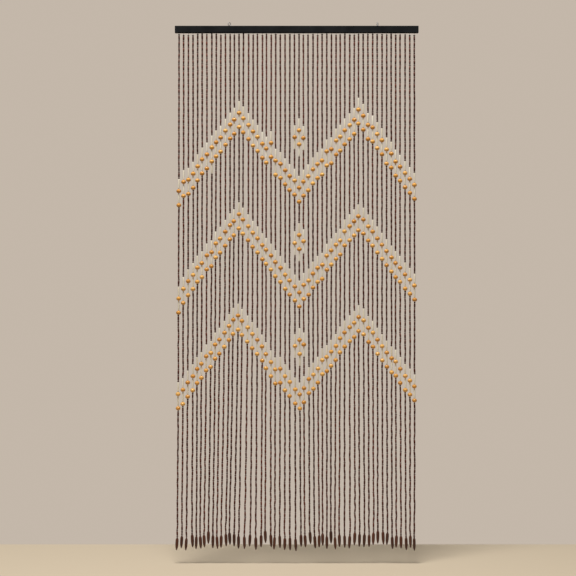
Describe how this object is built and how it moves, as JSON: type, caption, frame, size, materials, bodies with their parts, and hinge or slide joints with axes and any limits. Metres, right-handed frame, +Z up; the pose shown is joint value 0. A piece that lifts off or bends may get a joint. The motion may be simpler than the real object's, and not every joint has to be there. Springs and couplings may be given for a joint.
{
  "type": "bead curtain with rail",
  "caption": "Doorway curtain of hanging strings of small wooden beads, with zigzag bands of round beads, on a straight flat rail with two screw eyes.",
  "frame": {"origin": "centre of the rail's flat back face", "axes": "+Z up along the strings, +Y from the front towards the wall, +X along the rail to the right as seen from the front"},
  "size_m": [0.925, 0.02, 2.009],
  "materials": {
    "rail_black": "satin black paint",
    "string_brown": "dark red-brown stained small beads and tubes, satin",
    "bead_orange": "clear gloss lacquer on golden wood",
    "tube_pale": "pale satin wood",
    "pendant_dark": "dark red-brown gloss lacquer",
    "cord": "twisted nylon cord",
    "eye_steel": "zinc plated wire"
  },
  "bodies": {
    "root": {"rail": "rail_black", "strings": "string_brown", "eye_left": "eye_steel", "eye_right": "eye_steel"}
  },
  "joints": []
}
